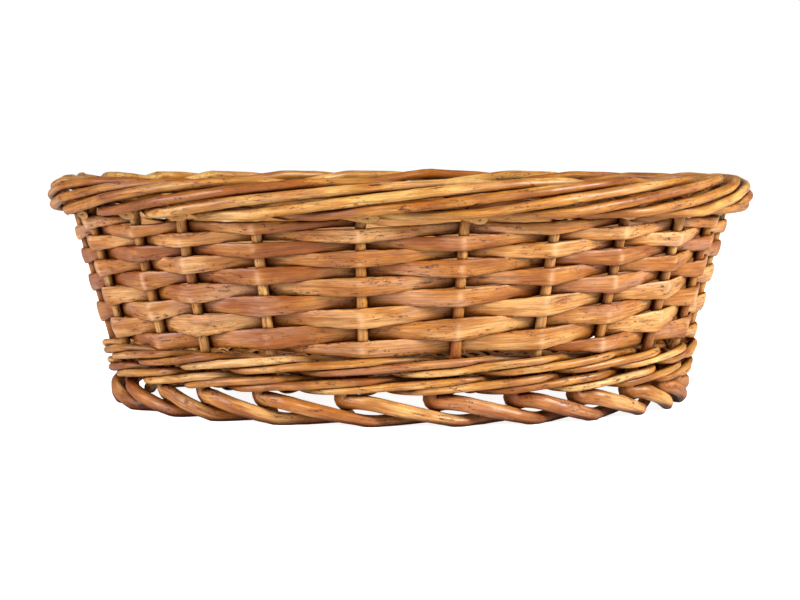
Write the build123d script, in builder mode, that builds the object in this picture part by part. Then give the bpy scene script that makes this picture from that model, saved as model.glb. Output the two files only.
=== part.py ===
from build123d import *
import math
import os

# A low oval wicker pet basket. Its long side lies along X and its front faces -Y. The foot border
# stands on Z = 0, and the origin is the centre of the oval. All lengths are in millimetres.
# A place on the wall or a border is told by three numbers: `spaces`, counted in stake spaces
# anticlockwise round the oval, `out`, the distance outward from the ring of stakes, and `z`.
# A place in the base is told by an angle and by `reach`, the distance from the spine, which is the
# line along X on which the base sticks cross.

# ---- oval and wall ----
STAKES = 24
FIRST_STAKE_DEG = -172.5
RING_HALF_LENGTH = 203.7  # half length of the ring of stakes at FLARE_FROM_Z
OVAL_DIFFERENCE = 60  # the ring's half width is this much less than its half length
FLARE = 0.265  # outward run of the wall for each millimetre of height
FLARE_FROM_Z = 45
# How far the weaver's hand set each stake from an even 15 degrees.
STAKE_SHIFT_DEG = (
    -0.5, 0.0, 2.2, -1.3, -1.7, 0.8, 2.5, 3.1, 1.8, 2.0, 0.7, 0.5,
    1.4, -0.8, 1.6, 0.4, -1.2, 0.8, 1.9, -0.4, 1.1, -1.0, 0.6, 0.9,
)  # fmt: skip

# ---- side stakes and rolled border ----
STAKE_D = 6.3
STAKE_FOOT_BEND = 7
# The way of one stake's upper end through the border: spaces from its own place, out, z.
BORDER_ROUTE = (
    (0.02, 0.0, 141.7),
    (0.45, -2.0, 148.0),
    (0.80, -6.5, 146.4),
    (1.12, -8.0, 140.2),
    (1.32, -3.4, 137.7),
    (1.68, 11.2, 138.6),
    (2.05, 16.0, 139.7),
    (2.90, 16.0, 146.8),
    (3.80, 12.2, 153.2),
    (4.50, 6.0, 157.5),
    (5.10, -1.8, 158.6),
    (5.75, -11.6, 153.4),
    (6.20, -13.2, 146.2),
    (6.47, -6.9, 139.5),
    (6.92, 6.0, 139.0),
    (7.04, 12.0, 131.9),
)

# ---- siding ----
WEAVERS = 8
WEAVER_T = 2.4
WALL_Z0 = 48.1
ROW_PITCH = 12.0  # of the lowest row; each higher row is lower by twice ROW_EASE
ROW_EASE = 0.295
ROWS = 9.4
FIRST_ROW = 0.55  # row at which a weaver is fully under way
CLIMB = 1 / 3  # rows climbed in each stake space
FRONT_WIDTH = 1.24  # widths of a weaver as shares of the row pitch
BACK_WIDTH = 1.12
CROSS_WIDTH = 0.86
LEAST_WIDTH = 3
WEAVER_CLEARANCE = 0.5
WEAVER_START = -2  # stakes before the one where the weaver is under way
WEAVER_END = 26

# ---- three-rod wale at the foot of the wall ----
WALE_D = 4.85
WALE_Z0 = 24.5
WALE_LAYER = 5.75
WALE_RODS = 3
WALE_ROUNDS = 2
WALE_ROUND_RISE = 2.14  # layers from one round to the next
# One stroke of a wale rod over three stake spaces: spaces, out, layers up.
WALE_STROKE = (
    (-0.42, 6.9, -0.2),
    (0.00, 7.2, 0.18),
    (0.36, 7.5, 0.50),
    (0.70, 7.3, 0.81),
    (1.10, 7.1, 1.18),
    (1.58, -6.7, 1.15),
    (1.84, -6.9, 1.1),
    (2.13, -6.8, 1.05),
    (2.26, -3.8, -0.1),
)
WALE_TAIL = (-0.74, -4.6, -0.1)  # where a wale rod's first end is tucked in

# ---- foot border ----
FOOT_D = 8.0
FOOT_TOP = (-0.22, 0.0, 43.0)
FOOT_ROUTE = (
    (-0.24, 0.0, 17.2),
    (0.08, 6.0, 15.9),
    (0.42, 8.6, 11.6),
    (0.78, 8.2, 6.8),
    (1.06, 5.6, 3.2),
    (1.42, -2.6, 3.8),
    (1.90, -8.6, 5.4),
)
FOOT_ELBOW_R = 5

# ---- base ----
BASE_Z = 24.2
SPINE = 60  # half the length of the line on which the base sticks cross
SHORT_STICKS = 9
LONG_STICKS = 3
MIDDLE_SHORT_STICK = 5
MIDDLE_LONG_STICK = 2
STICK_D = 7.0
STICK_REACH = 127
STICK_SPACING_DEG = 15
SLATH_HALF_WIDTH = 14  # the short sticks run straight across the long ones in this width
LONG_STICK_GAP = 8
SPLIT_HEIGHT = 4.0  # of the split in a short stick that the long sticks pass through
LONG_STICK_FLAT = 3.4  # what is left of a long stick's height where it is in the splits
BASE_STRIP_T = 2.0
BASE_STRIP_WIDTH = 6.4
BASE_ROW = 7.6
SHORT_STICK_BEND = 12
LONG_STICK_BEND = 40
SPLIT_LENGTH = 26
SPLIT_DEPTH = 14  # of the cutter for splits and flats, more than a stick's thickness
BASE_STRIP_CLEARANCE = 0.5
BASE_STRIP_EASE = 2.8  # a strip lies level this far before and after the middle of a stick
SIDE_STAKE_REACH = 110.5  # the side stakes' feet reach in to here
SLATH_HALF_DEG = 30  # round each end of the slath a strip passes the outer sticks as one bundle
# Each pair of base strips: where it starts, the rounds of its two strips, and how far they move
# out in a round.
SLATH_PAIR = (25.4, (0.95, 0.95), 0)
SPREAD_PAIR = (40.2, (4.34, 3.9), 2 * BASE_ROW)
FEET_PAIR = (114.2, (0.98, 0.98), 0)


def ring_angle(spaces):
    """The angle on the oval, in radians, of a place counted in stake spaces."""
    turns, along = divmod(spaces, STAKES)
    before = int(along)
    step = 360 / STAKES
    here = FIRST_STAKE_DEG + step * before + STAKE_SHIFT_DEG[before]
    after = FIRST_STAKE_DEG + step * (before + 1) + STAKE_SHIFT_DEG[(before + 1) % STAKES]
    return math.radians(here + (after - here) * (along - before) + 360 * turns)


def ring_halves(z):
    """Half length and half width of the ring of stakes at a height."""
    half_length = RING_HALF_LENGTH + FLARE * (z - FLARE_FROM_Z)
    return half_length, half_length - OVAL_DIFFERENCE


def ring_outward(spaces, z):
    """The level direction straight out of the oval."""
    angle = ring_angle(spaces)
    half_length, half_width = ring_halves(z)
    return Vector(math.cos(angle) / half_length, math.sin(angle) / half_width, 0).normalized()


def ring_point(spaces, out, z):
    """The point at a number of stake spaces, a distance outward and a height."""
    angle = ring_angle(spaces)
    half_length, half_width = ring_halves(z)
    on_ring = Vector(half_length * math.cos(angle), half_width * math.sin(angle), z)
    return on_ring + ring_outward(spaces, z) * out


def base_point(angle, reach, z=BASE_Z):
    """The point of the base at an angle, in radians, and a distance from the spine."""
    return Vector((SPINE + reach) * math.cos(angle), reach * math.sin(angle), z)


def row_z(row):
    return WALL_Z0 + ROW_PITCH * row - ROW_EASE * row**2


def corner_radii(points, share=0.45, most=40):
    """For each corner of a route, the largest radius that its two runs leave room for."""
    radii = []
    for before, corner, after in zip(points, points[1:], points[2:]):
        run = min((corner - before).length, (after - corner).length)
        turn = math.radians((corner - before).get_angle(after - corner))
        radii.append(min(most, share * run / math.tan(turn / 2)))
    return radii


def rod(name, points, diameter, radii=None):
    """A round rod of one diameter along a route of straight runs with rounded corners."""
    with BuildPart() as piece:
        with BuildLine() as route:
            FilletPolyline(*points, radius=radii or corner_radii(points))
        with BuildSketch(Plane(origin=points[0], z_dir=points[1] - points[0])):
            Circle(diameter / 2)
        sweep(path=route.line)
    piece.part.label = name
    return piece


def strip(name, sections, thickness):
    """A flat strip through sections, each a plane and a width. Its thickness is along the plane's X."""
    with BuildPart() as piece:
        for plane, width in sections:
            with BuildSketch(plane):
                Rectangle(thickness, width)
        loft(ruled=True)
    piece.part.label = name
    return piece


def make_side_stake(number):
    """A stake from its foot among the base sticks, up the wall and through the rolled border."""
    angle = ring_angle(number)
    foot_corner = ring_point(number, 0, BASE_Z)
    points = [base_point(angle, SIDE_STAKE_REACH), foot_corner]
    points += [ring_point(number + spaces, out, z) for spaces, out, z in BORDER_ROUTE]
    radii = corner_radii(points)
    radii[0] = STAKE_FOOT_BEND
    return rod(f"side_stake_{number + 1:02d}", points, STAKE_D, radii)


def weaver_section(start, step):
    """Plane and width of a siding weaver at a number of stakes from its start."""
    row = FIRST_ROW + CLIMB * step
    low = max(0, row - 0.5)
    high = min(ROWS, row + 0.5)
    if step < 0:
        high = FIRST_ROW + CLIMB * (step + 3) - 0.5
    side = 0
    share = CROSS_WIDTH
    if step == int(step):
        in_front = int(step) % 2 == 1
        side = 1 if in_front else -1
        share = FRONT_WIDTH if in_front else BACK_WIDTH
    width = max(LEAST_WIDTH, (row_z(high) - row_z(low)) * share)
    z = (row_z(high) + row_z(low)) / 2
    lean = math.atan(FLARE)
    outward = ring_outward(start + step, z)
    face = outward * math.cos(lean) - Vector(0, 0, math.sin(lean))
    up = outward * math.sin(lean) + Vector(0, 0, math.cos(lean))
    off_ring = side * (STAKE_D / 2 + WEAVER_CLEARANCE + WEAVER_T / 2)
    centre = ring_point(start + step, 0, z) + face * off_ring
    return Plane(origin=centre, x_dir=face, z_dir=face.cross(up)), width


def make_siding_weaver(number):
    """A flat skein, in front of one stake and behind the next, climbing as it goes round the wall."""
    start = number * STAKES / WEAVERS
    sections = []
    for half in range(2 * WEAVER_START, 2 * WEAVER_END + 1):
        sections.append(weaver_section(start, half / 2))
    return strip(f"siding_weaver_{number + 1}", sections, WEAVER_T)


def make_wale_rod(number):
    """A wale rod, in front of two stakes and behind one, once round the foot of the wall."""
    wale_round, first = divmod(number, WALE_RODS)
    first += wale_round * STAKES // 2
    places = [WALE_TAIL]
    for stroke in range(STAKES // WALE_RODS):
        for spaces, out, layers in WALE_STROKE:
            places.append((WALE_RODS * stroke + spaces, out, layers))
    points = []
    for spaces, out, layers in places:
        z = WALE_Z0 + WALE_LAYER * (layers + WALE_ROUND_RISE * wale_round)
        points.append(ring_point(first + spaces, out, z))
    return rod(f"upsett_wale_rod_{number + 1}", points, WALE_D)


def make_foot_border():
    """The foot rods: each comes down beside a stake, turns sharply and lies under the next ones."""
    with BuildPart() as piece:
        for number in range(STAKES):
            points = [ring_point(number + s, out, z) for s, out, z in (FOOT_TOP, *FOOT_ROUTE)]
            radii = corner_radii(points)
            radii[0] = FOOT_ELBOW_R
            with BuildLine() as route:
                FilletPolyline(*points, radius=radii)
            with BuildSketch(Plane(origin=points[0], z_dir=points[1] - points[0])):
                Circle(FOOT_D / 2)
            sweep(path=route.line)
        split(bisect_by=Plane.XY, keep=Keep.TOP)
    piece.part.label = "foot_border_rods"
    return piece


def make_short_stick(number):
    """A stick across the base, with a split in its middle for the long sticks."""
    angle = math.radians(180 - STICK_SPACING_DEG * (number + 1))
    bend = SLATH_HALF_WIDTH / abs(math.sin(angle))  # the reach at which the stick leaves the slath
    points = [base_point(-angle, STICK_REACH), base_point(-angle, bend)]
    points += [base_point(angle, bend), base_point(angle, STICK_REACH)]
    with BuildPart() as piece:
        with BuildLine() as route:
            if number == MIDDLE_SHORT_STICK:
                Line(points[0], points[-1])
            else:
                FilletPolyline(*points, radius=corner_radii(points, most=SHORT_STICK_BEND))
        with BuildSketch(Plane(origin=points[0], z_dir=points[1] - points[0])):
            Circle(STICK_D / 2)
        sweep(path=route.line)
        with Locations((points[1].X, 0, BASE_Z)):
            Box(SPLIT_DEPTH, SPLIT_LENGTH, SPLIT_HEIGHT, mode=Mode.SUBTRACT)
    piece.part.label = f"base_short_stick_{number}"
    return piece


def make_long_stick(number):
    """A stick along the base, shaved flat above and below where it passes through the short ones."""
    side = number - MIDDLE_LONG_STICK
    angle = math.radians(side * STICK_SPACING_DEG)
    leave = LONG_STICK_GAP / math.sin(math.radians(STICK_SPACING_DEG))
    right = [base_point(angle, leave), base_point(angle, STICK_REACH)]
    points = [Vector(-p.X, p.Y, p.Z) for p in reversed(right)] + right
    flat_half = SPINE + leave
    shaved = (STICK_D - LONG_STICK_FLAT) / 2
    with BuildPart() as piece:
        with BuildLine() as route:
            if side == 0:
                Line(points[0], points[-1])
            else:
                FilletPolyline(*points, radius=LONG_STICK_BEND)
        with BuildSketch(Plane(origin=points[0], z_dir=points[1] - points[0])):
            Circle(STICK_D / 2)
        sweep(path=route.line)
        for above in (-1, 1):
            middle_z = BASE_Z + above * (LONG_STICK_FLAT + shaved) / 2
            with Locations((0, side * LONG_STICK_GAP, middle_z)):
                Box(2 * flat_half, SPLIT_DEPTH, shaved, mode=Mode.SUBTRACT)
    piece.part.label = f"base_long_stick_{number}"
    return piece


def base_strip(number, start, rounds, advance, members, first_side):
    """A strip that goes over one member and under the next. A member is one angle or a bundle's."""
    sections = []
    for index in range(int(rounds * len(members))):
        turn, which = divmod(index, len(members))
        angles = members[which]
        side = first_side * (1 if index % 2 else -1)
        height = side * (STICK_D / 2 + BASE_STRIP_CLEARANCE + BASE_STRIP_T / 2)
        stops = [(angles[0], -1), *((inner, 0) for inner in angles[1:-1]), (angles[-1], 1)]
        for degrees, ease in stops:
            angle = math.radians(degrees)
            reach = start + advance * (turn + (degrees - members[0][0]) / 360)
            along = Vector(-(SPINE + reach) * math.sin(angle), reach * math.cos(angle), 0)
            angle += ease * BASE_STRIP_EASE / along.length
            centre = base_point(angle, reach, BASE_Z + height)
            section = Plane(origin=centre, x_dir=(0, 0, 1), z_dir=along)
            sections.append((section, BASE_STRIP_WIDTH))
    return strip(f"base_weaver_{number}", sections, BASE_STRIP_T)


def base_members():
    """What the three pairs of strips cross: sticks round the slath, spread sticks, sticks and feet."""
    sticks = [STICK_SPACING_DEG * step for step in range(STAKES)]
    bundle = [SLATH_HALF_DEG * share for share in (-1, -0.5, 0, 0.5, 1)]
    between = [a for a in sticks if SLATH_HALF_DEG < a < 180 - SLATH_HALF_DEG]
    slath = [bundle, *([a] for a in between)]
    slath += [[180 + a for a in member] for member in slath]
    feet = [math.degrees(ring_angle(number)) % 360 for number in range(STAKES)]
    return slath, [[a] for a in sticks], [[a] for a in sorted(feet + sticks)]


def make_base_weavers():
    pieces = []
    pairs = (SLATH_PAIR, SPREAD_PAIR, FEET_PAIR)
    for (start, rounds, advance), members in zip(pairs, base_members()):
        for first_side, apart, strip_rounds in zip((1, -1), (0, BASE_ROW), rounds):
            number = len(pieces) + 1
            strip_start = start + apart
            pieces.append(base_strip(number, strip_start, strip_rounds, advance, members, first_side))
    return pieces


def write(piece):
    export_step(piece.part, f"parts/{piece.part.label}.step")


os.makedirs("parts", exist_ok=True)
for number in range(STAKES):
    write(make_side_stake(number))
for number in range(WEAVERS):
    write(make_siding_weaver(number))
for number in range(WALE_RODS * WALE_ROUNDS):
    write(make_wale_rod(number))
write(make_foot_border())
for number in range(1, SHORT_STICKS + 1):
    write(make_short_stick(number))
for number in range(1, LONG_STICKS + 1):
    write(make_long_stick(number))
for piece in make_base_weavers():
    write(piece)
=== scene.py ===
import math

import bpy
import numpy as np
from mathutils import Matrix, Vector


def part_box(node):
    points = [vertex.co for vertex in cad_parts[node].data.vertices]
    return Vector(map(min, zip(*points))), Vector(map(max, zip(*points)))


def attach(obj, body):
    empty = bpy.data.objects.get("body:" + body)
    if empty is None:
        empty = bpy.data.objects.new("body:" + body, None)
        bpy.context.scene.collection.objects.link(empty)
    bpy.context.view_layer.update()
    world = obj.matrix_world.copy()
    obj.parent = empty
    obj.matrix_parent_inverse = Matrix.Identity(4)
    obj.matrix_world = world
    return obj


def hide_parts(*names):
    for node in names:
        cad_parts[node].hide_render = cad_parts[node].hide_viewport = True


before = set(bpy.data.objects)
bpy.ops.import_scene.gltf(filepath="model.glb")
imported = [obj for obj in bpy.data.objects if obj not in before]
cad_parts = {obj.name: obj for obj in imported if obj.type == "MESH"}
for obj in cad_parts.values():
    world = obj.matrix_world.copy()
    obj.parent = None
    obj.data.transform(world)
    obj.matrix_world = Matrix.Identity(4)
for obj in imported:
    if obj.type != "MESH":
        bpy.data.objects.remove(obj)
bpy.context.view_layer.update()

# The looks of a low oval wicker pet basket. Lengths are in millimetres and become metres when a mesh
# is made; only the studio is in metres. A place on the wall or a border is told by `spaces`, counted
# in stake spaces anticlockwise round the oval, `out`, the distance outward from the ring of stakes,
# and `z`. A place in the base is told by an angle and by `reach`, the distance from the spine on
# which the base sticks cross. The rods and strips are a little thicker than the solids that they
# stand for, and the long base sticks pass through the short ones, which have no splits here.
MM = 0.001
SEED = 7

# ---- oval and wall ----
STAKES = 24
FIRST_STAKE_DEG = -172.5
RING_HALF_LENGTH = 203.7
OVAL_DIFFERENCE = 60
FLARE = 0.265
FLARE_FROM_Z = 45
STAKE_SHIFT_DEG = (
    -0.5, 0.0, 2.2, -1.3, -1.7, 0.8, 2.5, 3.1, 1.8, 2.0, 0.7, 0.5,
    1.4, -0.8, 1.6, 0.4, -1.2, 0.8, 1.9, -0.4, 1.1, -1.0, 0.6, 0.9,
)  # fmt: skip
# The middle long base stick lies across the centre of the oval.
low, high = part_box("base_long_stick_2")
OVAL_CENTRE = np.array([(low.x + high.x) / 2, (low.y + high.y) / 2, 0]) / MM

# ---- side stakes and rolled border ----
STAKE_BUTT_R = 3.4
STAKE_TIP_R = 3.4
STAKE_FOOT_BEND = 7
BORDER_ROUTE = (
    (0.02, 0.0, 141.7),
    (0.45, -2.0, 148.0),
    (0.80, -6.5, 146.4),
    (1.12, -8.0, 140.2),
    (1.32, -3.4, 137.7),
    (1.68, 11.2, 138.6),
    (2.05, 16.0, 139.7),
    (2.90, 16.0, 146.8),
    (3.80, 12.2, 153.2),
    (4.50, 6.0, 157.5),
    (5.10, -1.8, 158.6),
    (5.75, -11.6, 153.4),
    (6.20, -13.2, 146.2),
    (6.47, -6.9, 139.5),
    (6.92, 6.0, 139.0),
    (7.24, 11.6, 134.4),
)
BORDER_LOOSENESS = 0.45

# ---- siding ----
WEAVERS = 8
WEAVER_T = 2.6
WALL_Z0 = 48.0
ROW_PITCH = 12.0
ROW_EASE = 0.295
ROWS = 9.4
FIRST_ROW = 0.55
CLIMB = 1 / 3
FRONT_WIDTH = 1.34
BACK_WIDTH = 1.24
CROSS_WIDTH = 1.1
LEAST_WIDTH = 3
WEAVER_OFF_STAKE = 4.85
WEAVER_START = -2
WEAVER_END = 26
FOLD_REACH = 1.6
FOLD_SOFTNESS = 0.8

# ---- three-rod wale ----
WALE_BUTT_R = 2.75
WALE_TIP_R = 2.5
WALE_Z0 = 24.5
WALE_LAYER = 5.75
WALE_ROUNDS = 2
WALE_ROUND_RISE = 2.14
WALE_STROKE = (
    (-0.42, 6.9, -0.2),
    (0.00, 7.2, 0.18),
    (0.36, 7.5, 0.50),
    (0.70, 7.3, 0.81),
    (1.10, 7.1, 1.18),
    (1.58, -6.7, 1.15),
    (1.84, -6.9, 1.1),
    (2.13, -6.8, 1.05),
    (2.26, -3.8, -0.1),
)
WALE_TAIL = (-0.74, -4.6, -0.1)

# ---- foot border ----
FOOT_R = 4.35
FOOT_TIP_R = FOOT_R * 0.92
FOOT_TALLER = 0.2
FOOT_TOP = (-0.22, 0.0, 43.0)
FOOT_ROUTE = (
    (-0.24, 0.0, 17.2),
    (0.08, 6.0, 15.9),
    (0.42, 8.6, 11.6),
    (0.78, 8.2, 7.0),
    (1.06, 5.6, 3.6),
    (1.42, -2.6, 4.2),
    (1.90, -8.6, 5.8),
)
FOOT_ELBOW_R = 4.3
FOOT_ELBOW_PUSH = 4.6

# ---- base ----
BASE_Z = 24.2
SPINE = 60
STICK_R = 3.5
STICK_TIP_R = STICK_R * 0.95
SHORT_STICKS = 9
LONG_STICKS = 3
MIDDLE_LONG_STICK = 2
STICK_REACH = 127
STICK_SPACING_DEG = 15
SLATH_HALF_WIDTH = 14
LONG_STICK_GAP = 8
SHORT_STICK_BEND = 12
LONG_STICK_BEND = 40
BASE_STRIP_T = 2.0
BASE_STRIP_WIDTH = 7.3
BASE_ROW = 7.6
BASE_STRIP_CLEARANCE = 0.5
BASE_STRIP_EASE = 2.8
SIDE_STAKE_REACH = 110.5
SLATH_HALF_DEG = 30
SLATH_PAIR = (25.4, (0.95, 0.95), 0)
SPREAD_PAIR = (40.2, (4.34, 3.9), 2 * BASE_ROW)
FEET_PAIR = (114.2, (0.98, 0.98), 0)

# ---- mesh ----
ROD_STEP = 1.7
ROD_SIDES = 16
STRIP_STEP = 1.3
STRIP_SIDES = 20
ROD_OVAL = 0.04
BUD_HEIGHT = (0.12, 0.34)
BUD_SPACING = (26, 70)
BUD_TURN_DEG = 144
PITH_SHARE = 0.16
# What the rings of an end show, from its middle outward: 2 is pith, 1 is wood and 0 is bark.
CUT_MARKS = (2, 2, 1, 1, 0)


def vec(*xyz):
    return np.array(xyz, float)


def unit(v):
    return v / np.linalg.norm(v, axis=-1, keepdims=True)


def ring_angle(spaces):
    turns, along = divmod(spaces, STAKES)
    before = int(along)
    step = 360 / STAKES
    here = FIRST_STAKE_DEG + step * before + STAKE_SHIFT_DEG[before]
    after = FIRST_STAKE_DEG + step * (before + 1) + STAKE_SHIFT_DEG[(before + 1) % STAKES]
    return math.radians(here + (after - here) * (along - before) + 360 * turns)


def ring_halves(z):
    half_length = RING_HALF_LENGTH + FLARE * (z - FLARE_FROM_Z)
    return half_length, half_length - OVAL_DIFFERENCE


def ring_outward(spaces, z):
    angle = ring_angle(spaces)
    half_length, half_width = ring_halves(z)
    return unit(vec(math.cos(angle) / half_length, math.sin(angle) / half_width, 0))


def ring_point(spaces, out, z):
    angle = ring_angle(spaces)
    half_length, half_width = ring_halves(z)
    on_ring = vec(half_length * math.cos(angle), half_width * math.sin(angle), z)
    return on_ring + ring_outward(spaces, z) * out


def base_point(angle, reach, z=BASE_Z):
    return vec((SPINE + reach) * math.cos(angle), reach * math.sin(angle), z)


def row_z(row):
    return WALL_Z0 + ROW_PITCH * row - ROW_EASE * row**2


# ---- paths ----
def corner_radii(points, share=0.45, most=40):
    radii = []
    for before, corner, after in zip(points, points[1:], points[2:]):
        runs = corner - before, after - corner
        shorter = min(np.linalg.norm(run) for run in runs)
        turn = math.acos(min(1, unit(runs[0]) @ unit(runs[1])))
        radii.append(min(most, share * shorter / math.tan(max(turn, 1e-3) / 2)))
    return radii


def rounded(points, radii, step=0.8):
    """A route of straight runs with an arc at each corner."""
    path = [points[0]]
    for before, corner, after, radius in zip(points, points[1:], points[2:], radii):
        u, v = unit(corner - before), unit(after - corner)
        turn = math.acos(min(1, u @ v))
        if turn < 1e-3:
            path.append(corner)
            continue
        start = corner - u * radius * math.tan(turn / 2)
        inward = (v - u * math.cos(turn)) / math.sin(turn)
        count = max(2, math.ceil(radius * turn / step))
        for k in range(count + 1):
            a = turn * k / count
            path.append(start + radius * (u * math.sin(a) + inward * (1 - math.cos(a))))
    path.append(points[-1])
    return np.array(path)


def lengths(path):
    return np.concatenate([[0], np.cumsum(np.linalg.norm(np.diff(path, axis=0), axis=1))])


def even(path, step):
    """The path with its points an even step apart."""
    s = lengths(path)
    keep = np.concatenate([[True], np.diff(s) > 1e-6])
    s, path = s[keep], path[keep]
    at = np.linspace(0, s[-1], max(4, round(s[-1] / step) + 1))
    return np.stack([np.interp(at, s, path[:, k]) for k in range(path.shape[1])], 1)


def softened(values, sigma):
    """Values with their corners rounded off, sigma being in points. The ends stay."""
    if sigma <= 0:
        return values
    reach = math.ceil(3 * sigma)
    kernel = np.exp(-0.5 * (np.arange(-reach, reach + 1) / sigma) ** 2)
    kernel /= kernel.sum()
    head = 2 * values[0] - values[reach:0:-1]
    tail = 2 * values[-1] - values[-2 : -reach - 2 : -1]
    padded = np.concatenate([head, values, tail])
    return np.stack([np.convolve(padded[:, k], kernel, "valid") for k in range(values.shape[1])], 1)


def tangents(path):
    return unit(np.gradient(path, axis=0))


def frames(path):
    """Normals and binormals that turn as little as they can along the path."""
    t = tangents(path)
    side = vec(0, 0, 1) if abs(t[0][2]) < 0.8 else vec(1, 0, 0)
    normal = unit(side - t[0] * (side @ t[0]))
    normals = [normal]
    for i in range(len(path) - 1):
        v1 = path[i + 1] - path[i]
        c1 = v1 @ v1
        mirrored = normal - v1 * (2 / c1) * (v1 @ normal)
        t_mirrored = t[i] - v1 * (2 / c1) * (v1 @ t[i])
        v2 = t[i + 1] - t_mirrored
        c2 = v2 @ v2
        normal = mirrored if c2 < 1e-12 else mirrored - v2 * (2 / c2) * (v2 @ mirrored)
        normal = unit(normal - t[i + 1] * (normal @ t[i + 1]))
        normals.append(normal)
    normals = np.array(normals)
    return t, normals, np.cross(t, normals)


def waves(s, dice, shortest, longest, count=5):
    """A wandering value between about -1 and 1 along a length."""
    total = np.zeros_like(s)
    for wavelength in np.geomspace(shortest, longest, count):
        total += np.sin(2 * math.pi * s / wavelength + dice.uniform(0, 2 * math.pi))
    return total / math.sqrt(2 * count)


# ---- skins: rings of points, their grain coordinates and tones, joined later into a mesh ----
def end_rings(ring, grain, outward, radius):
    """The cut face of an end: a small bevel, the wood and the sunk pith, from the edge inward."""
    middle, grain_middle = ring.mean(0), grain.mean(0)
    rings, grains = [], []
    steps = ((0.93, -0.12), (0.6, -0.1), (PITH_SHARE, -0.05), (PITH_SHARE * 0.7, 0.35), (0.04, 0.4))
    for share, sunk in steps:
        rings.append(middle + (ring - middle) * share - outward * sunk * min(1, radius / 3))
        grains.append(grain_middle + (grain - grain_middle) * share)
    return rings, grains


def closed_skin(rings, grain, tone, tangent, radius):
    """Both ends closed with their cut faces."""
    start, start_grain = end_rings(rings[0], grain[0], -tangent[0], radius)
    end, end_grain = end_rings(rings[-1], grain[-1], tangent[-1], radius)
    all_rings = np.concatenate([start[::-1], rings, end])
    all_grain = np.concatenate([start_grain[::-1], grain, end_grain])
    first, last = np.repeat(tone[:1], len(start), 0), np.repeat(tone[-1:], len(end), 0)
    cut = np.zeros(len(all_rings) - 1)
    cut[: len(start)] = CUT_MARKS
    cut[-len(end) :] = CUT_MARKS[::-1]
    all_tone = np.concatenate([first, tone, last])
    return {"rings": all_rings, "grain": all_grain, "tone": all_tone, "cut": cut}


def rod(
    path,
    butt_r,
    tip_r,
    dice,
    cuts=(20, 45),
    press=0.2,
    sides=ROD_SIDES,
    flat=None,
    facing=None,
    tall=None,
    push=0,
):
    """The skin of a round willow rod: it tapers, wanders, has buds, and is pressed where it bends.

    `cuts` are the slants of its ends, `flat` the surface it stands on, `facing` where its cut faces
    look, `tall` how much higher it is along its length, and `push` how far a bend stands out.
    """
    path = even(path, ROD_STEP)
    s = lengths(path)
    length = s[-1]
    t, n, b = frames(path)
    theta = np.arange(sides) * 2 * math.pi / sides
    radius = butt_r + (tip_r - butt_r) * s / length
    radius = radius * (1 + 0.022 * waves(s, dice, 14, 130))
    oval_turn = theta[None] - dice.uniform(0, math.pi) - s[:, None] / 160
    r = radius[:, None] * (1 + ROD_OVAL * np.cos(2 * oval_turn))
    bud, bud_angle = dice.uniform(10, 50), dice.uniform(0, 2 * math.pi)
    while bud < length - 8:
        off = (theta[None] - bud_angle + math.pi) % (2 * math.pi) - math.pi
        along = s[:, None] - bud
        height = dice.uniform(*BUD_HEIGHT)
        r += height * np.exp(-((along / 1.9) ** 2) - (off / 0.55) ** 2)
        r += 0.09 * np.exp(-((along / 3.2) ** 2))
        bud += dice.uniform(*BUD_SPACING)
        bud_angle += math.radians(BUD_TURN_DEG)
    bend = np.gradient(t, axis=0) / np.gradient(s)[:, None]
    bend = softened(bend, 1.2)
    pressed = np.clip(np.linalg.norm(bend, axis=1) * radius, 0, 0.8)
    way = bend / np.maximum(np.linalg.norm(bend, axis=1, keepdims=True), 1e-9)
    around = np.cos(theta)[None, :, None] * n[:, None] + np.sin(theta)[None, :, None] * b[:, None]
    in_plane = np.einsum("ijk,ik->ij", around, way)
    offsets = around * r[..., None]
    squeeze = -press * pressed[:, None] * in_plane * r
    offsets += squeeze[..., None] * way[:, None]
    sideways = offsets - np.einsum("ijk,ik->ij", offsets, way)[..., None] * way[:, None]
    offsets += 0.6 * press * pressed[:, None, None] * sideways
    offsets -= (push * pressed[:, None] * np.clip(-in_plane, 0, 1))[..., None] * way[:, None]
    if tall is not None:
        offsets[..., 2] *= 1 + tall(s)[:, None]
    rings = path[:, None] + offsets
    for end, slant in ((0, cuts[0]), (-1, cuts[1])):
        turn = dice.uniform(0, 2 * math.pi)
        if facing is not None:
            turn = math.atan2(b[end] @ facing, n[end] @ facing)
        deep = math.tan(math.radians(slant)) * radius[end] * (1 + np.cos(theta - turn))
        from_end = s if end == 0 else length - s
        share = np.clip(1 - from_end / (3 * deep.max() + 1), 0, 1) ** 1.5
        move = share[:, None] * deep[None]
        sign = 1 if end == 0 else -1
        rings += sign * move[..., None] * t[end]
    if flat is not None:
        rings[..., 2] = np.maximum(rings[..., 2], flat)
    seed = dice.uniform(0, 900)
    along = np.broadcast_to(s[:, None], r.shape) + seed * 1000
    grain = np.stack([along, r * np.cos(theta) + seed, r * np.sin(theta) + seed * 2], -1)
    tone = np.zeros((len(path), sides, 3))
    tone[..., 0] = dice.uniform(0, 1)
    tone[..., 1] = np.clip(pressed[:, None] * 1.6 - 0.25, 0, 1) * np.clip(0.5 + in_plane, 0, 1)
    return closed_skin(rings, grain, tone, t, radius.mean())


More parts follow.
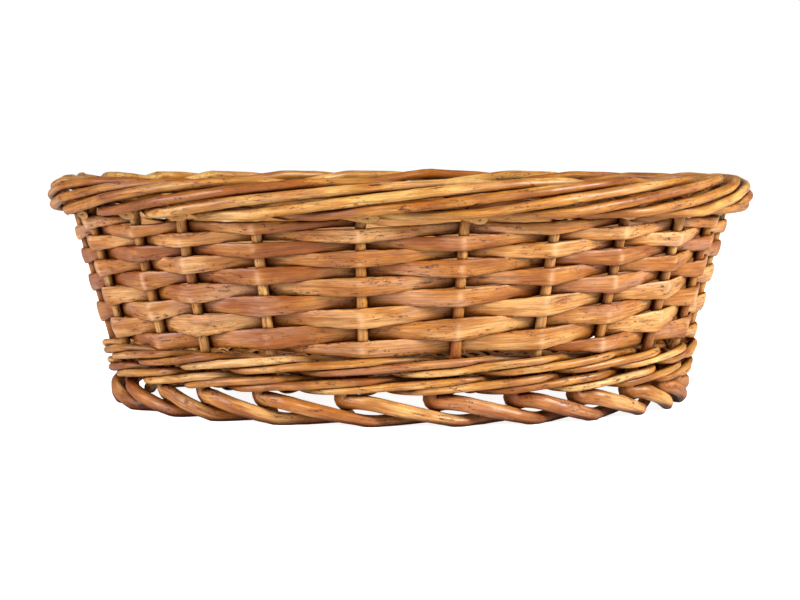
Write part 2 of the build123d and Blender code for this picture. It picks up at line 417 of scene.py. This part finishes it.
def strip(sections, thickness, dice, soften, crown=0.62, sides=STRIP_SIDES, loose=1.0):
    """The skin of a half-round strip through sections of (centre, face, up, width, crease)."""
    centre = np.array([c for c, *_ in sections])
    rest = np.array([np.concatenate([face, up, [width, crease]]) for _, face, up, width, crease in sections])
    data = even(np.concatenate([centre, rest], 1)[:, :3], STRIP_STEP)
    s0, s1 = lengths(centre), lengths(data)
    other = np.stack([np.interp(s1, s0, rest[:, k]) for k in range(rest.shape[1])], 1)
    path = softened(data, soften)
    other[:, :7] = softened(other[:, :7], 2.5)
    t = tangents(path)
    face = unit(other[:, 0:3] - t * np.einsum("ij,ij->i", other[:, 0:3], t)[:, None])
    up = np.cross(face, t)
    up *= np.sign(np.einsum("ij,ij->i", up, other[:, 3:6]))[:, None]
    width = other[:, 6] * (1 + 0.035 * waves(s1, dice, 18, 160))
    lean = 0.05 * loose * waves(s1, dice, 25, 200)
    face, up = unit(face + up * lean[:, None]), unit(up - face * lean[:, None])
    theta = (np.arange(sides) + 0.5) * 2 * math.pi / sides
    across, deep = np.cos(theta), np.sin(theta)
    y = np.sign(across) * np.abs(across) ** 0.9
    x = np.where(deep > 0, crown * np.abs(deep) ** 0.85, -(1 - crown) * np.abs(deep) ** 0.45)
    thick = thickness * (1 + 0.05 * waves(s1, dice, 20, 150))
    edge_low = 0.22 * loose * waves(s1, dice, 9, 60)
    edge_high = 0.22 * loose * waves(s1, dice, 9, 60)
    ys = y[None] * width[:, None] / 2 + np.where(y > 0, 1, 0)[None] * edge_high[:, None] * y[None]
    ys += np.where(y < 0, 1, 0)[None] * edge_low[:, None] * -y[None]
    xs = x[None] * thick[:, None]
    rings = path[:, None] + xs[..., None] * face[:, None] + ys[..., None] * up[:, None]
    seed = dice.uniform(0, 900)
    grain = np.stack([np.broadcast_to(s1[:, None], xs.shape) + seed * 1000, ys + seed, xs + seed * 2], -1)
    tone = np.zeros(rings.shape)
    tone[..., 0] = dice.uniform(0, 1)
    # Below 0 on the folds, where the material paints a pale highlight.
    tone[..., 1] = -other[:, 7:8] * np.clip(deep, 0, 1)[None]
    tone[..., 2] = (deep < 0)[None]
    return closed_skin(rings, grain, tone, t, thickness / 2)


def piece(name, skins, material):
    """One mesh object from its skins. It stands for the CAD node that it is named after."""
    points, grains, tones, quads, tris, quad_cut = [], [], [], [], [], []
    base = 0
    for skin in skins:
        rings = skin["rings"]
        count, sides = rings.shape[:2]
        points.append(rings.reshape(-1, 3))
        grains.append(skin["grain"].reshape(-1, 3))
        tones.append(skin["tone"].reshape(-1, 3))
        i, j = np.meshgrid(np.arange(count - 1), np.arange(sides), indexing="ij")
        k = (j + 1) % sides
        here, onward = i * sides, (i + 1) * sides
        quad = np.stack([here + j, here + k, onward + k, onward + j], -1)
        quads.append(quad.reshape(-1, 4) + base)
        quad_cut.append(np.repeat(skin["cut"], sides))
        first = base + np.arange(sides)
        last = first + (count - 1) * sides
        tris += [list(first[::-1]), list(last)]
        base += count * sides
    points = (np.concatenate(points) + OVAL_CENTRE) * MM
    quads, quad_cut = np.concatenate(quads), np.concatenate(quad_cut)
    mesh = bpy.data.meshes.new(name)
    loops = np.concatenate([quads.ravel(), np.concatenate(tris)])
    sizes = np.concatenate([np.full(len(quads), 4), [len(f) for f in tris]])
    mesh.vertices.add(len(points))
    mesh.vertices.foreach_set("co", points.astype(np.float32).ravel())
    mesh.loops.add(len(loops))
    mesh.loops.foreach_set("vertex_index", loops.astype(np.int32))
    mesh.polygons.add(len(sizes))
    mesh.polygons.foreach_set("loop_start", np.concatenate([[0], np.cumsum(sizes)[:-1]]).astype(np.int32))
    mesh.polygons.foreach_set("loop_total", sizes.astype(np.int32))
    mesh.update(calc_edges=True)
    mesh.validate()
    mesh.shade_smooth()
    grain = mesh.attributes.new("grain", "FLOAT_VECTOR", "POINT")
    grain.data.foreach_set("vector", (np.concatenate(grains) * MM).astype(np.float32).ravel())
    tone = mesh.attributes.new("tone", "FLOAT_VECTOR", "POINT")
    tone.data.foreach_set("vector", np.concatenate(tones).astype(np.float32).ravel())
    cut = mesh.attributes.new("cut", "FLOAT", "CORNER")
    corner_cut = np.concatenate([np.repeat(quad_cut, 4), np.full(sum(len(f) for f in tris), 2)])
    cut.data.foreach_set("value", corner_cut.astype(np.float32))
    mesh.materials.append(material)
    shown = bpy.data.objects.new("look_" + name, mesh)
    bpy.context.scene.collection.objects.link(shown)
    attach(shown, "root")
    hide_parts(name)
    return shown


# ---- willow materials ----
class Nodes:
    """Short ways to add linked shader nodes to one material."""

    def __init__(self, material):
        material.use_nodes = True
        self.material = material
        self.tree = material.node_tree
        self.shader = self.tree.nodes["Principled BSDF"]

    def link(self, value, socket):
        if isinstance(value, bpy.types.NodeSocket):
            self.tree.links.new(value, socket)
        else:
            socket.default_value = value

    def add(self, kind, **inputs):
        node = self.tree.nodes.new(kind)
        for key, value in inputs.items():
            self.link(value, node.inputs[key])
        return node.outputs[0]

    def attribute(self, name, output="Vector"):
        node = self.tree.nodes.new("ShaderNodeAttribute")
        node.attribute_name = name
        return node.outputs[output]

    def math(self, operation, a, b=0.0, clamp=False):
        node = self.tree.nodes.new("ShaderNodeMath")
        node.operation = operation
        node.use_clamp = clamp
        self.link(a, node.inputs[0])
        self.link(b, node.inputs[1])
        return node.outputs[0]

    def scaled(self, vector, scale, offset=(0, 0, 0)):
        return self.add("ShaderNodeMapping", Vector=vector, Scale=scale, Location=offset)

    def noise(self, vector, detail=2.0, roughness=0.5):
        return self.add("ShaderNodeTexNoise", Vector=vector, Scale=1.0, Detail=detail, Roughness=roughness)

    def ramp(self, value, low, high, to_low=0.0, to_high=1.0):
        node = self.tree.nodes.new("ShaderNodeMapRange")
        node.interpolation_type = "SMOOTHSTEP"
        for socket, given in zip(node.inputs, (value, low, high, to_low, to_high)):
            self.link(given, socket)
        return node.outputs[0]

    def mix(self, share, a, b, blend="MIX"):
        node = self.tree.nodes.new("ShaderNodeMix")
        node.data_type = "RGBA"
        node.blend_type = blend
        self.link(share, node.inputs[0])
        self.link(a, node.inputs[6])
        self.link(b, node.inputs[7])
        return node.outputs[2]

    def shaded(self, colour, shade):
        """A colour made darker or lighter by one number."""
        grey = self.add("ShaderNodeCombineColor", Red=shade, Green=shade, Blue=shade)
        return self.mix(1.0, colour, grey, "MULTIPLY")

    def strewn(self, vector):
        """Coordinates pushed about a little, so that marks come out uneven."""
        wander = self.tree.nodes.new("ShaderNodeTexNoise")
        self.link(vector, wander.inputs["Vector"])
        self.link(WANDER_SCALE, wander.inputs["Scale"])
        push = self.tree.nodes.new("ShaderNodeVectorMath")
        push.operation = "SCALE"
        self.link(wander.outputs["Color"], push.inputs[0])
        self.link(WANDER_REACH * MM, push.inputs["Scale"])
        moved = self.tree.nodes.new("ShaderNodeVectorMath")
        moved.operation = "ADD"
        self.link(vector, moved.inputs[0])
        self.link(push.outputs[0], moved.inputs[1])
        return moved.outputs[0]

    def spots(self, vector, chance, inner, outer):
        """Scattered marks: 1 inside, 0 outside, in only some of the cells."""
        cells = self.tree.nodes.new("ShaderNodeTexVoronoi")
        self.link(vector, cells.inputs["Vector"])
        self.link(1.0, cells.inputs["Scale"])
        pick = self.tree.nodes.new("ShaderNodeSeparateColor")
        self.link(cells.outputs["Color"], pick.inputs[0])
        chosen = self.math("LESS_THAN", pick.outputs[0], chance)
        inside = self.ramp(cells.outputs["Distance"], inner, outer, 1, 0)
        return self.math("MULTIPLY", chosen, inside)


def srgb(r, g, b):
    """A colour as the eye counts it, 0 to 255, made linear for the shader."""
    linear = [(c / 255 / 12.92) if c <= 10 else ((c / 255 + 0.055) / 1.055) ** 2.4 for c in (r, g, b)]
    return (*linear, 1.0)


PINK = srgb(188, 138, 108)
RED_BROWN, DARK_BROWN = srgb(118, 50, 12), srgb(52, 18, 4)
CUT_WOOD, CUT_RING, PITH = srgb(214, 170, 104), srgb(164, 112, 58), srgb(104, 54, 20)
# Painted highlight: the pale colour laid on the folds of the strips.
FOLD_HIGHLIGHT = srgb(232, 190, 150)
SPLIT_FACE = srgb(186, 138, 82)
# Painted shade: the deep red-brown that the colour is darkened towards in crevices, within this reach.
CREVICE_SHADE, CREVICE_SHADE_REACH = srgb(96, 22, 2), 10
WANDER_SCALE = 900
WANDER_REACH = 1.6
BUMP_STRENGTH, BUMP_DEPTH = 0.7, 0.8


def skin_colour(n, grain, own_tone, patches, colours, pinkness):
    """The boiled bark: lighter and darker stretches, a pink bloom and long streaks."""
    deep, mid, light = colours
    broad = n.noise(n.scaled(grain, (9, 30, 30), (0, 0, 7)), 2, 0.5)
    level = n.math("ADD", n.math("MULTIPLY", patches, 0.75), n.math("MULTIPLY", own_tone, 0.2))
    level = n.math("ADD", level, n.math("MULTIPLY", broad, 0.55))
    colour = n.mix(n.ramp(level, 0.58, 0.76), deep, mid)
    colour = n.mix(n.ramp(level, 0.74, 0.92), colour, light)
    pink = n.ramp(n.noise(n.scaled(grain, (17, 60, 60), (3, 0, 0)), 3, 0.6), 0.5, 0.66, 0, pinkness)
    colour = n.mix(pink, colour, PINK)
    streaks = n.noise(n.scaled(grain, (22, 700, 700), (0, 5, 0)), 3, 0.6)
    return n.mix(n.ramp(streaks, 0.52, 0.7, 0, 0.65), colour, deep), pink


def marked(n, grain, colour):
    """Red-brown stains and dark cracks, specks and knots on the bark."""
    strewn = n.strewn(grain)
    clusters = n.ramp(n.noise(n.scaled(grain, (34, 110, 110), (0, 3, 0)), 2), 0.44, 0.58, 0.15, 1)
    specks = n.math("MULTIPLY", n.spots(n.scaled(strewn, (260, 620, 620)), 0.22, 0.14, 0.30), clusters)
    cracks = n.noise(n.scaled(strewn, (150, 620, 620), (5, 0, 2)), 4, 0.72)
    lines = n.math("MULTIPLY", n.ramp(cracks, 0.585, 0.63), clusters)
    blush = n.math("MULTIPLY", n.ramp(cracks, 0.5, 0.63, 0, 0.6), clusters)
    at_knots = n.scaled(strewn, (28, 130, 130), (0, 9, 0))
    knots = n.spots(at_knots, 0.22, 0.07, 0.13)
    halos = n.spots(at_knots, 0.22, 0.08, 0.42)
    stain = n.math("MULTIPLY", halos, n.ramp(n.noise(n.scaled(grain, (300, 900, 900)), 2), 0.35, 0.6))
    colour = n.mix(n.math("MAXIMUM", n.math("MULTIPLY", stain, 0.62), blush), colour, RED_BROWN)
    marks = n.math("MAXIMUM", n.math("MAXIMUM", specks, lines), knots)
    return n.mix(n.math("MULTIPLY", marks, 0.85), colour, DARK_BROWN), marks


def split_and_cut(n, grain, colour, split, cut):
    """The split inner face of a strip, and the wood and pith of a cut end."""
    fibre = n.noise(n.scaled(grain, (24, 1100, 1100), (0, 0, 4)), 4, 0.7)
    split_colour = n.shaded(SPLIT_FACE, n.ramp(fibre, 0.3, 0.7, 0.66, 1.14))
    colour = n.mix(n.math("MULTIPLY", split, 0.6), colour, split_colour)
    pores = n.noise(n.scaled(grain, (400, 2600, 2600)), 2, 0.6)
    cut_colour = n.mix(n.ramp(pores, 0.36, 0.62, 0, 0.8), CUT_WOOD, CUT_RING)
    cut_colour = n.mix(n.ramp(cut, 1.4, 1.6), cut_colour, PITH)
    in_cut = n.math("MINIMUM", cut, 1)
    return n.mix(n.math("MULTIPLY", in_cut, 0.9), colour, cut_colour), in_cut


def willow(name, deep, mid, light, pinkness=0.5, gloss=0.36):
    """Buff willow: boiled tan skin with fine grain, streaks, cracks and knots, a painted pale highlight on
    the folds of strips and painted shade in crevices.
    """
    n = Nodes(bpy.data.materials.new(name))
    grain = n.attribute("grain")
    tone = n.tree.nodes.new("ShaderNodeSeparateXYZ")
    n.link(n.attribute("tone"), tone.inputs[0])
    own_tone, crease, split = tone.outputs
    patches = n.noise(n.scaled(grain, (26, 95, 95)), 3, 0.55)
    colour, pink = skin_colour(n, grain, own_tone, patches, (deep, mid, light), pinkness)
    fibre = n.noise(n.scaled(grain, (60, 1900, 1900)), 4, 0.7)
    strands = n.noise(n.scaled(grain, (34, 750, 750), (2, 0, 0)), 3, 0.6)
    shade = n.math("MULTIPLY", n.ramp(fibre, 0.3, 0.7, 0.66, 1.2), n.ramp(strands, 0.32, 0.66, 0.76, 1.1))
    colour, marks = marked(n, grain, n.shaded(colour, shade))

    # A crease above 0 is a bend of a rod and goes red-brown. One below 0 is a fold of a strip and
    # gets a painted highlight, a pale colour.
    bark_worn = n.ramp(n.noise(n.scaled(grain, (600, 500, 500)), 3), 0.4, 0.62)
    creased = n.math("MULTIPLY", crease, bark_worn)
    colour = n.mix(n.math("MULTIPLY", creased, 0.55, clamp=True), colour, RED_BROWN)
    fold_highlight = n.math("MULTIPLY", crease, n.ramp(patches, 0.42, 0.6, 0, -0.55), clamp=True)
    colour = n.mix(fold_highlight, colour, FOLD_HIGHLIGHT)
    colour, in_cut = split_and_cut(n, grain, colour, split, n.attribute("cut", "Fac"))

    # Painted shade: where other willow is within reach, the colour is darkened towards the crevice colour
    # and the gloss is lowered.
    near = n.tree.nodes.new("ShaderNodeAmbientOcclusion")
    near.samples = 4
    near.inputs["Distance"].default_value = CREVICE_SHADE_REACH * MM
    crevice_shade = n.ramp(near.outputs["AO"], 0.2, 0.92, 1, 0)
    colour = n.mix(crevice_shade, colour, n.mix(1.0, colour, CREVICE_SHADE, "MULTIPLY"))
    n.link(colour, n.shader.inputs["Base Color"])

    rough = n.ramp(fibre, 0.25, 0.75, gloss - 0.05, gloss + 0.14)
    rough = n.math("ADD", rough, n.math("MULTIPLY", in_cut, 0.3))
    rough = n.math("ADD", rough, n.math("MULTIPLY", pink, 0.08), clamp=True)
    n.link(rough, n.shader.inputs["Roughness"])
    n.link(n.ramp(crevice_shade, 0, 0.7, 0.5, 0.1), n.shader.inputs["Specular IOR Level"])

    long_ridges = n.noise(n.scaled(grain, (14, 420, 420), (1, 2, 3)), 2, 0.5)
    height = n.math("ADD", n.math("MULTIPLY", fibre, 0.10), n.math("MULTIPLY", long_ridges, 0.22))
    height = n.math("SUBTRACT", height, n.math("MULTIPLY", marks, 0.12))
    height = n.math("ADD", height, n.math("MULTIPLY", creased, 0.10))
    bump = n.tree.nodes.new("ShaderNodeBump")
    bump.inputs["Strength"].default_value = BUMP_STRENGTH
    bump.inputs["Distance"].default_value = BUMP_DEPTH * MM
    n.link(height, bump.inputs["Height"])
    n.link(bump.outputs[0], n.shader.inputs["Normal"])
    return n.material


STAKE_WILLOW = willow(
    "stake_willow", srgb(152, 86, 22), srgb(190, 130, 54), srgb(222, 176, 104), 0.3
)
SPLIT_WILLOW = willow(
    "split_willow", srgb(146, 78, 18), srgb(180, 116, 46), srgb(212, 160, 98), 0.6
)
WALE_WILLOW = willow(
    "wale_willow", srgb(150, 86, 26), srgb(194, 136, 62), srgb(232, 190, 124), 0.4
)
FOOT_WILLOW = willow(
    "foot_willow", srgb(142, 72, 20), srgb(180, 114, 48), srgb(218, 166, 100), 0.4
)
BASE_WILLOW = willow(
    "base_willow", srgb(136, 74, 28), srgb(176, 116, 56), srgb(200, 148, 82), 0.35
)


# ---- side stakes ----
def dice_for(*key):
    return np.random.default_rng([SEED, *key])


def side_stake(number):
    dice = dice_for(1, number)
    angle = ring_angle(number)
    points = [base_point(angle, SIDE_STAKE_REACH), ring_point(number, 0, BASE_Z)]
    for index, (spaces, out, z) in enumerate(BORDER_ROUTE):
        loose = BORDER_LOOSENESS * min(1, index / 4)
        loose_out = out + dice.normal(0, loose * 0.6)
        points.append(ring_point(number + spaces, loose_out, z + dice.normal(0, loose)))
    last = points[-1] - points[-2]
    points[-1] = points[-2] + last * dice.uniform(0.55, 1.0)
    radii = corner_radii(points)
    radii[0] = STAKE_FOOT_BEND
    path = softened(even(rounded(points, radii), ROD_STEP), 1.5)
    facing = ring_outward(number + BORDER_ROUTE[-1][0], points[-1][2]) - vec(0, 0, 0.4)
    return rod(path, STAKE_BUTT_R, STAKE_TIP_R, dice, cuts=(25, dice.uniform(52, 68)), facing=facing)


for number in range(STAKES):
    piece(f"side_stake_{number + 1:02d}", [side_stake(number)], STAKE_WILLOW)


# ---- siding ----
def weaver_section(start, step, dice):
    row = FIRST_ROW + CLIMB * step
    low_row = max(0, row - 0.5)
    high_row = min(ROWS, row + 0.5)
    if step < 0:
        high_row = FIRST_ROW + CLIMB * (step + 3) - 0.5
    side, share, crease = 0, CROSS_WIDTH, 0
    if step == int(step):
        in_front = int(step) % 2 == 1
        side = 1 if in_front else -1
        share = FRONT_WIDTH if in_front else BACK_WIDTH
        crease = 1 if in_front else 0
    gap = row_z(high_row) - row_z(low_row)
    width = max(LEAST_WIDTH, gap * share * (1 + dice.normal(0, 0.03)))
    z = (row_z(high_row) + row_z(low_row)) / 2 + dice.normal(0, 0.22)
    lean = math.atan(FLARE)
    outward = ring_outward(start + step, z)
    face = outward * math.cos(lean) - vec(0, 0, math.sin(lean))
    up = outward * math.sin(lean) + vec(0, 0, math.cos(lean))
    centre = ring_point(start + step, 0, z) + face * side * WEAVER_OFF_STAKE
    return centre, face, up, width, crease


def siding_weaver(number):
    dice = dice_for(2, number)
    start = number * STAKES / WEAVERS
    halves = int(2 * (WEAVER_END - WEAVER_START)) + 1
    corners = [weaver_section(start, WEAVER_START + half / 2, dice) for half in range(halves)]
    sections = []
    for (c0, f0, u0, w0, k0), (c1, f1, u1, w1, k1) in zip(corners, corners[1:]):
        run = np.linalg.norm(c1 - c0)
        count = max(2, round(run / 2))
        for i in range(count):
            a = i / count
            after_fold = k0 * math.exp(-((a * run / FOLD_REACH) ** 2))
            before_fold = k1 * math.exp(-(((1 - a) * run / FOLD_REACH) ** 2))
            ease = a * a * (3 - 2 * a)
            centre, face, up = c0 + (c1 - c0) * a, f0 + (f1 - f0) * a, u0 + (u1 - u0) * a
            sections.append((centre, face, up, w0 + (w1 - w0) * ease, max(after_fold, before_fold)))
    sections.append(corners[-1])
    return strip(sections, WEAVER_T, dice, FOLD_SOFTNESS)


for number in range(WEAVERS):
    piece(f"siding_weaver_{number + 1}", [siding_weaver(number)], SPLIT_WILLOW)


# ---- wale ----
def wale_rod(number):
    dice = dice_for(3, number)
    first = number % 3 + number // 3 * STAKES // 2
    base_z = WALE_Z0 + WALE_ROUND_RISE * WALE_LAYER * (number // 3)
    places = [WALE_TAIL]
    for stroke in range(STAKES // 3):
        places += [(3 * stroke + spaces, out, layers) for spaces, out, layers in WALE_STROKE]
    points = []
    for spaces, out, layers in places:
        loose_out = out + dice.normal(0, 0.2)
        z = base_z + layers * WALE_LAYER + dice.normal(0, 0.3)
        points.append(ring_point(first + spaces, loose_out, z))
    path = softened(even(rounded(points, corner_radii(points)), ROD_STEP), 2)
    return rod(path, WALE_BUTT_R, WALE_TIP_R, dice)


for number in range(3 * WALE_ROUNDS):
    piece(f"upsett_wale_rod_{number + 1}", [wale_rod(number)], WALE_WILLOW)


# ---- foot border ----
def foot_rod(number):
    dice = dice_for(4, number)
    points = [ring_point(number + spaces, out, z) for spaces, out, z in (FOOT_TOP, *FOOT_ROUTE)]
    radii = corner_radii(points)
    radii[0] = FOOT_ELBOW_R
    path = softened(even(rounded(points, radii), 1.2), 0.6)

    def tall(s):
        """Higher from the elbow on, and round again towards the tip."""
        return FOOT_TALLER * np.clip((s - 22) / 6, 0, 1) * np.clip((95 - s) / 30, 0, 1)

    return rod(
        path,
        FOOT_R,
        FOOT_TIP_R,
        dice,
        cuts=(20, 30),
        press=0.1,
        sides=24,
        flat=0.02,
        tall=tall,
        push=FOOT_ELBOW_PUSH,
    )


piece("foot_border_rods", [foot_rod(number) for number in range(STAKES)], FOOT_WILLOW)


# ---- base sticks ----
def short_stick(number):
    dice = dice_for(5, number)
    angle = math.radians(180 - STICK_SPACING_DEG * (number + 1))
    bend = SLATH_HALF_WIDTH / abs(math.sin(angle))
    reaches = ((-angle, STICK_REACH), (-angle, bend), (angle, bend), (angle, STICK_REACH))
    points = [base_point(at, reach) for at, reach in reaches]
    path = rounded(points, corner_radii(points, most=SHORT_STICK_BEND))
    return rod(path, STICK_R, STICK_TIP_R, dice, cuts=(12, 12))


def long_stick(number):
    dice = dice_for(6, number)
    side = number - MIDDLE_LONG_STICK
    angle = math.radians(side * STICK_SPACING_DEG)
    leave = LONG_STICK_GAP / math.sin(math.radians(STICK_SPACING_DEG))
    right = [base_point(angle, leave), base_point(angle, STICK_REACH)]
    points = [p * vec(-1, 1, 1) for p in reversed(right)] + right
    path = rounded(points, [LONG_STICK_BEND] * 2)
    return rod(path, STICK_R, STICK_TIP_R, dice, cuts=(12, 12))


for number in range(1, SHORT_STICKS + 1):
    piece(f"base_short_stick_{number}", [short_stick(number)], BASE_WILLOW)
for number in range(1, LONG_STICKS + 1):
    piece(f"base_long_stick_{number}", [long_stick(number)], BASE_WILLOW)


# ---- base weavers ----
def base_strip(start, rounds, advance, members, first_side, dice):
    sections = []
    for index in range(int(rounds * len(members))):
        turn, which = divmod(index, len(members))
        angles = members[which]
        side = first_side * (1 if index % 2 else -1)
        height = side * (STICK_R + BASE_STRIP_CLEARANCE + BASE_STRIP_T / 2)
        stops = [(angles[0], -1), *((inner, 0) for inner in angles[1:-1]), (angles[-1], 1)]
        for degrees, ease in stops:
            angle = math.radians(degrees)
            reach = start + advance * (turn + (degrees - members[0][0]) / 360)
            along = vec(-(SPINE + reach) * math.sin(angle), reach * math.cos(angle), 0)
            angle += ease * BASE_STRIP_EASE / np.linalg.norm(along)
            across = np.cross(unit(along), vec(0, 0, 1))
            centre = base_point(angle, reach, BASE_Z + height)
            sections.append((centre, vec(0, 0, 1), -across, BASE_STRIP_WIDTH, 0))
    return strip(sections, BASE_STRIP_T, dice, 2.2, crown=0.55, sides=14, loose=0.6)


def base_members():
    sticks = [STICK_SPACING_DEG * step for step in range(STAKES)]
    bundle = [SLATH_HALF_DEG * share for share in (-1, -0.5, 0, 0.5, 1)]
    one_side = [[a] for a in sticks if SLATH_HALF_DEG < a < 180 - SLATH_HALF_DEG]
    other_side = [[a] for a in sticks if 180 + SLATH_HALF_DEG < a < 360 - SLATH_HALF_DEG]
    slath = [bundle, *one_side, [180 + a for a in bundle], *other_side]
    feet = [math.degrees(ring_angle(number)) % 360 for number in range(STAKES)]
    return slath, [[a] for a in sticks], [[a] for a in sorted(feet + sticks)]


made = 0
pairs = (SLATH_PAIR, SPREAD_PAIR, FEET_PAIR)
for (start, rounds, advance), members in zip(pairs, base_members()):
    for first_side, strip_rounds in zip((1, -1), rounds):
        apart = BASE_ROW if first_side < 0 else 0
        made += 1
        skin = base_strip(start + apart, strip_rounds, advance, members, first_side, dice_for(7, made))
        piece(f"base_weaver_{made}", [skin], BASE_WILLOW)


# ---- studio: floor, lights and camera, in metres ----
FLOOR_HALF = 6.0
CAMERA_AT = (0.0, -1.357, 0.183)
CAMERA_AIM = (0.0, 0.0, 0.0713)
LENS = 85.5


def floor():
    mesh = bpy.data.meshes.new("floor")
    corners = [(x * FLOOR_HALF, y * FLOOR_HALF, 0) for x, y in ((-1, -1), (1, -1), (1, 1), (-1, 1))]
    mesh.from_pydata(corners, [], [(0, 1, 2, 3)])
    material = bpy.data.materials.new("floor")
    n = Nodes(material)
    n.shader.inputs["Base Color"].default_value = (0.9, 0.9, 0.9, 1)
    n.shader.inputs["Roughness"].default_value = 0.9
    n.shader.inputs["Specular IOR Level"].default_value = 0.1
    n.shader.inputs["Emission Color"].default_value = (1, 1, 1, 1)
    in_view = n.tree.nodes.new("ShaderNodeLightPath").outputs["Is Camera Ray"]
    n.link(n.ramp(in_view, 0, 1, 0.1, 0.9), n.shader.inputs["Emission Strength"])
    mesh.materials.append(material)
    made_floor = bpy.data.objects.new("floor", mesh)
    bpy.context.scene.collection.objects.link(made_floor)


def aimed(thing, at, aim):
    thing.location = at
    thing.rotation_euler = (Vector(aim) - Vector(at)).to_track_quat("-Z", "Y").to_euler()
    bpy.context.scene.collection.objects.link(thing)


def soft_light(name, at, size, watts, colour=(1, 1, 1)):
    data = bpy.data.lights.new(name, "AREA")
    data.shape = "DISK"
    data.size = size
    data.energy = watts
    data.color = colour
    aimed(bpy.data.objects.new(name, data), at, (0, 0, 0.08))


floor()
soft_light("key_light", (1.95, -1.3, 1.15), 0.6, 92, (1.0, 0.94, 0.8))
soft_light("fill_light", (-1.9, -1.1, 0.9), 0.8, 44, (1.0, 0.89, 0.88))
world = bpy.data.worlds.new("studio")
world.use_nodes = True
# The studio's walls are white to look at and light the basket less than the lamps do.
seen = world.node_tree.nodes.new("ShaderNodeLightPath")
strength = world.node_tree.nodes.new("ShaderNodeMapRange")
world.node_tree.links.new(seen.outputs["Is Camera Ray"], strength.inputs["Value"])
strength.inputs["To Min"].default_value = 0.24
background = world.node_tree.nodes["Background"]
background.inputs["Color"].default_value = (1, 1, 1, 1)
world.node_tree.links.new(strength.outputs[0], background.inputs["Strength"])
bpy.context.scene.world = world
camera_data = bpy.data.cameras.new("camera")
camera_data.lens = LENS
camera = bpy.data.objects.new("camera", camera_data)
aimed(camera, CAMERA_AT, CAMERA_AIM)
bpy.context.scene.camera = camera
bpy.context.scene.view_settings.view_transform = "Standard"
